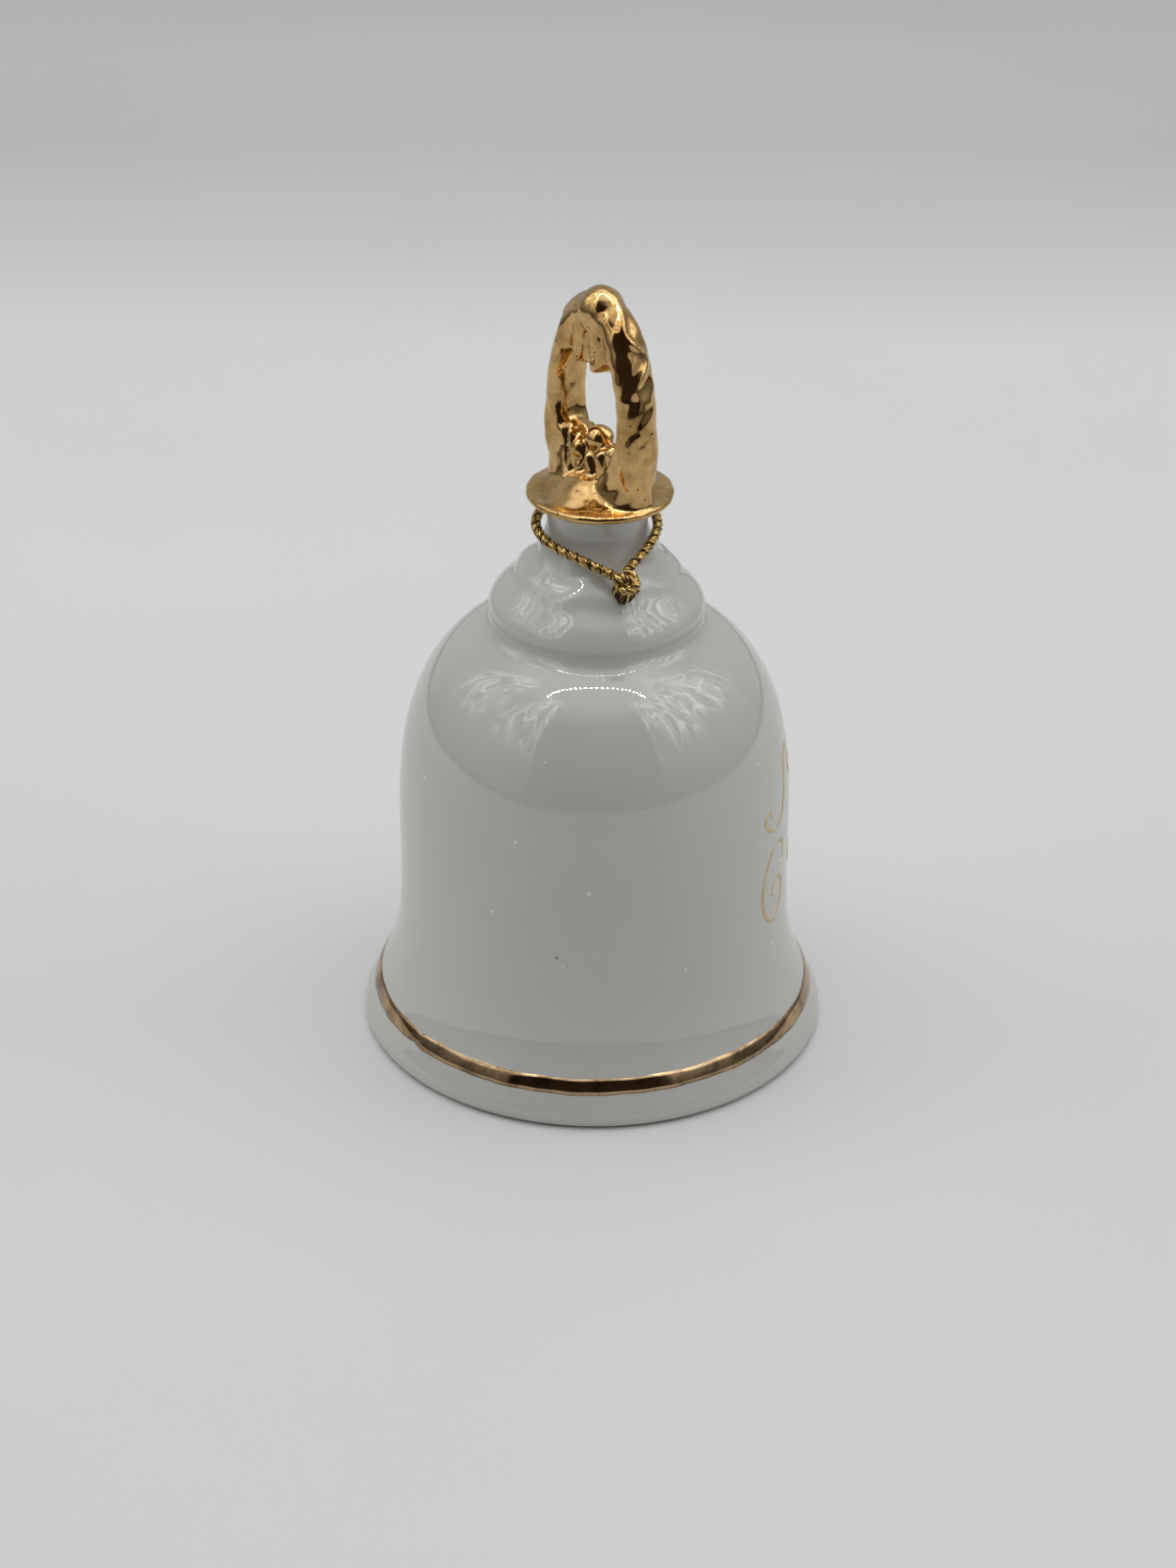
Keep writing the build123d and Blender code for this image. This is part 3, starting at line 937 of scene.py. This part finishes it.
dress(shell, porcelain_material(), "bell", "bell_shell")
handle_gold = gilt_material("fired_gold", (0.66, 0.43, 0.18), (0.40, 0.24, 0.085), 0.05, 0.15, 0.12)
dress(handle, handle_gold, "bell", "handle")
line_gold = gilt_material("brushed_gold_line", (0.50, 0.35, 0.20), (0.20, 0.12, 0.06), 0.06, 0.16, 0.1)
dress(rim_line, line_gold, "bell", "rim_gilt_band")
print_gold = simple_material("printed_gold", (0.50, 0.40, 0.20), (0.74, 0.60, 0.34), 400, 0.55, 0.35)
dress(scrolls, print_gold, "bell", "front_gilt_scrolls")
gold_thread = thread_material("gold_foil_thread", (0.26, 0.15, 0.04), (0.74, 0.53, 0.20), 0.22)
dark_thread = thread_material("dark_foil_thread", (0.035, 0.02, 0.008), (0.15, 0.085, 0.03), 0.35)
dress(neck_cord, gold_thread, "bell", "neck_cord")
dress(cord_knot, gold_thread, "bell", "cord_knot")
for made, which in ((neck_cord, neck_cord_faces), (cord_knot, cord_knot_faces)):
    made.data.materials.append(dark_thread)
    made.data.polygons.foreach_set("material_index", which)

brass = simple_material("drawn_brass", (0.62, 0.46, 0.20), (0.82, 0.66, 0.36), 300, 1.0, 0.3)
cement = simple_material("white_cement", (0.66, 0.64, 0.58), (0.82, 0.80, 0.75), 350, 0.0, 0.8, 0.5)
bead = simple_material("glazed_bead", (0.72, 0.71, 0.67), (0.80, 0.79, 0.75), 120, 0.0, 0.2, 0.08)
for node_name, material in (
    ("hanger_plug", cement), ("hanger_staple", brass), ("jump_ring", brass),
    ("clapper_wire", brass), ("clapper_ball", bead),
):
    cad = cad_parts[node_name]
    cad.data.materials.clear()
    cad.data.materials.append(material)

# =============================================================================== studio
# A small white photo tent: pale floor that sweeps up behind, a row of lamps overhead,
# crinkled silver walls at the sides and a dim opening in front. The walls and lamps show
# only in reflections, so that they never hide the bell. Sizes here are in metres.
SWEEP_START = 1.0
SWEEP_RADIUS = 0.30
SWEEP_STEPS = 24
FLOOR_HALF = 1.6
WALL_HEIGHT = 1.2
SHADE_REACH = 0.46    # how far behind the bell the floor's shade varies


def studio_place(front, side, height):
    """Place in front of the bell's axis, to its right and above the floor."""
    return toward_camera * front + camera_right * side + Vector((0, 0, height))


def studio_mesh(name, points, faces, smooth=False):
    mesh = bpy.data.meshes.new(name)
    mesh.from_pydata([tuple(p) for p in points], [], faces)
    mesh.polygons.foreach_set("use_smooth", [smooth] * len(mesh.polygons))
    made = link(name, mesh)
    return made


def make_backdrop():
    """Floor and wall in one sheet. Its tone carries painted shade: it stands for how its light falls off
    behind.
    """
    profile = [(FLOOR_HALF, 0.0), (-SWEEP_START, 0.0)]
    for k in range(1, SWEEP_STEPS + 1):
        angle = radians(90 * k / SWEEP_STEPS)
        profile.append((-SWEEP_START - SWEEP_RADIUS * sin(angle), SWEEP_RADIUS * (1 - cos(angle))))
    profile.append((-SWEEP_START - SWEEP_RADIUS, WALL_HEIGHT))
    points = []
    for front, height in profile:
        points.append(studio_place(front, -FLOOR_HALF, height))
        points.append(studio_place(front, FLOOR_HALF, height))
    faces = [(2 * k, 2 * k + 1, 2 * k + 3, 2 * k + 2) for k in range(len(profile) - 1)]
    made = studio_mesh("backdrop", points, faces, smooth=True)
    material, tree, shader = shader_of("pale_sheet")
    place = object_place(tree)
    sheet_tones = [(0.3, (0.876, 0.876, 0.87)), (0.7, (0.904, 0.904, 0.898))]
    sheet = ramp(tree, noise(tree, place, 9, 4), sheet_tones)
    ahead = add_node(tree, "ShaderNodeVectorMath", {"operation": "DOT_PRODUCT"})
    tree.links.new(place, ahead.inputs[0])
    ahead.inputs[1].default_value = tuple(-toward_camera)
    behind = add_node(tree, "ShaderNodeMapRange", From_Min=0.0, From_Max=SHADE_REACH)
    tree.links.new(ahead.outputs["Value"], behind.inputs["Value"])
    # Painted shade: the sheet's tone falls and rises with distance behind the bell, where less light reaches
    # it
    painted_shade_stops = [
        (0.0, (0.89,)), (0.43, (0.975,)), (0.54, (1,)), (0.66, (0.88,)), (0.80, (0.83,)), (0.97, (0.94,)),
    ]
    shade = ramp(tree, behind.outputs["Result"], painted_shade_stops)
    tree.links.new(mix(tree, 1.0, sheet, shade, "MULTIPLY"), shader.inputs["Base Color"])
    shader.inputs["Roughness"].default_value = 0.7
    made.data.materials.append(material)


def show_in_reflections_only(made):
    made.visible_camera = False
    made.visible_diffuse = False
    made.visible_shadow = False
    made.visible_transmission = False


TENT_RADIUS = 0.45
TENT_TOP = 1.0
OPENING_HALF = radians(40)   # from the middle of the opening to its edge
SILVER_END = radians(128)    # from the middle of the opening to the end of the silver


def soft_step(value, low, high):
    """0 below low, 1 above high and a smooth rise between."""
    share = min(max((value - low) / (high - low), 0.0), 1.0)
    return share * share * (3 - 2 * share)


def tent_glow(angle, height):
    """Brightness of the tent wall. The angle runs from the camera's side."""
    aside = abs((angle + pi) % (2 * pi) - pi)
    place = Vector((cos(angle) * 5.5, sin(angle) * 5.5, height * 2.6))
    crease = bpy_noise.turbulence(place, 5, True, noise_basis="PERLIN_ORIGINAL", amplitude_scale=0.7)
    streak = 1 - abs(bpy_noise.noise(place * 1.7 + Vector((3, 9, 2)))) * 4.0
    sheen = soft_step(bpy_noise.noise(place * 0.4 + Vector((7, 3, 1))), -0.45, 0.25)
    sheen *= soft_step(height, 0.12, 0.38)
    silver = 0.34 + sheen * (1.5 * soft_step(crease, 0.3, 0.95) + 2.6 * soft_step(streak, 0.2, 1.0) ** 2)
    silver *= 0.5 + 0.5 * soft_step(height, 0.04, 0.16)
    plain = 0.44
    opening = 0.035 + 0.10 * soft_step(height, 0.42, 0.62)
    sides = soft_step(aside, OPENING_HALF - 0.02, OPENING_HALF + 0.02)
    behind = soft_step(aside, SILVER_END - 0.12, SILVER_END + 0.12)
    glow = opening * (1 - sides) + sides * (silver * (1 - behind) + plain * behind)
    seam = exp(-(((height - 0.012) / 0.010) ** 2))
    ceiling = 0.9 * soft_step(height, 0.5, 0.9)
    return glow * (1 - 0.9 * seam) + ceiling


def glow_material(name, strength):
    """Light of its own, in the colour that each point of the mesh carries."""
    material = bpy.data.materials.new(name)
    material.use_nodes = True
    tree = material.node_tree
    tree.nodes.clear()
    glow = add_node(tree, "ShaderNodeEmission", Strength=strength)
    carried = add_node(tree, "ShaderNodeVertexColor", {"layer_name": "glow"})
    tree.links.new(carried.outputs["Color"], glow.inputs["Color"])
    end = tree.nodes.new("ShaderNodeOutputMaterial")
    tree.links.new(glow.outputs["Emission"], end.inputs["Surface"])
    return material


def carry_glow(made, values):
    """Writes a brightness to each point of a mesh, warmer where it is dim."""
    carried = made.data.color_attributes.new("glow", "FLOAT_COLOR", "POINT")
    colours = []
    for value in values:
        warm = 0.5 * soft_step(-value, -0.20, -0.05)
        colours.extend((value, value * (1 - 0.6 * warm), value * (0.985 - 0.9 * warm), 1.0))
    carried.data.foreach_set("color", colours)


def make_tent():
    turns, rows = 420, 130
    points, faces, glow = [], [], []
    for row in range(rows + 1):
        height = TENT_TOP * (row / rows) ** 1.5
        for k in range(turns):
            angle = 2 * pi * k / turns
            points.append(studio_place(TENT_RADIUS * cos(angle), TENT_RADIUS * sin(angle), height))
            glow.append(tent_glow(angle, height))
    for row in range(rows):
        for k in range(turns):
            n = (k + 1) % turns
            low, high = row * turns, (row + 1) * turns
            faces.append((low + k, low + n, high + n, high + k))
    faces.append(tuple(range(rows * turns, (rows + 1) * turns)))
    made = studio_mesh("tent_wall", points, faces)
    carry_glow(made, glow)
    made.data.materials.append(glow_material("tent_wall", 1.0))
    show_in_reflections_only(made)


LAMP_COUNT = 25
LAMP_SPACING = 0.0095
LAMP_HEIGHT = 0.30
LAMP_HALF = 0.0020    # half width of a lamp
LAMP_LENGTH = 2.2     # of its half width, from the middle to an end
LAMP_FRONT = 0.007    # in front of the bell at the middle of the row
LAMP_BOW = 0.05       # how far the row comes forward at LAMP_BOW_SIDE to either side
LAMP_BOW_SIDE = 0.11
LAMP_STRENGTH = 60.0


def make_lamp_row():
    corners = ((-LAMP_LENGTH, -1), (LAMP_LENGTH, -1), (LAMP_LENGTH, 1), (-LAMP_LENGTH, 1))
    lamps, glow = [], []
    for k in range(LAMP_COUNT):
        side = (k - (LAMP_COUNT - 1) / 2) * LAMP_SPACING
        front = LAMP_FRONT + LAMP_BOW * (side / LAMP_BOW_SIDE) ** 2
        places = []
        for ahead, across in corners:
            places.append(studio_place(front + ahead * LAMP_HALF, side + across * LAMP_HALF, LAMP_HEIGHT))
        lamps.append((places, [(0, 1, 2, 3)]))
        glow.extend([0.7 + 0.3 * sin(2.1 * k) ** 2] * 4)
    made = studio_mesh("lamp_row", *gather(lamps))
    carry_glow(made, glow)
    made.data.materials.append(glow_material("lamps", LAMP_STRENGTH))
    show_in_reflections_only(made)


def make_light(name, place, aim, size, energy):
    data = bpy.data.lights.new(name, "AREA")
    data.shape = "RECTANGLE"
    data.size, data.size_y = size
    data.energy = energy
    made = bpy.data.objects.new(name, data)
    made.location = place
    made.rotation_mode = "QUATERNION"
    made.rotation_quaternion = (Vector(aim) - Vector(place)).to_track_quat("-Z", "Y")
    made.visible_glossy = False
    bpy.context.scene.collection.objects.link(made)


def make_world():
    world = bpy.data.worlds.new("room")
    world.use_nodes = True
    shade = world.node_tree.nodes["Background"]
    shade.inputs["Color"].default_value = (0.98, 0.99, 1.0, 1)
    shade.inputs["Strength"].default_value = 0.13
    bpy.context.scene.world = world
    bpy.context.scene.view_settings.view_transform = "Standard"


make_backdrop()
make_tent()
make_lamp_row()
make_light("ceiling_light", studio_place(0.0, 0, 0.6), (0, 0, 0), (1.0, 1.0), 3.4)
make_light("left_light", studio_place(-0.05, -0.6, 0.25), (0, 0, 0.04), (0.6, 0.45), 0.7)
make_light("right_light", studio_place(-0.05, 0.6, 0.25), (0, 0, 0.04), (0.6, 0.45), 0.7)
make_world()
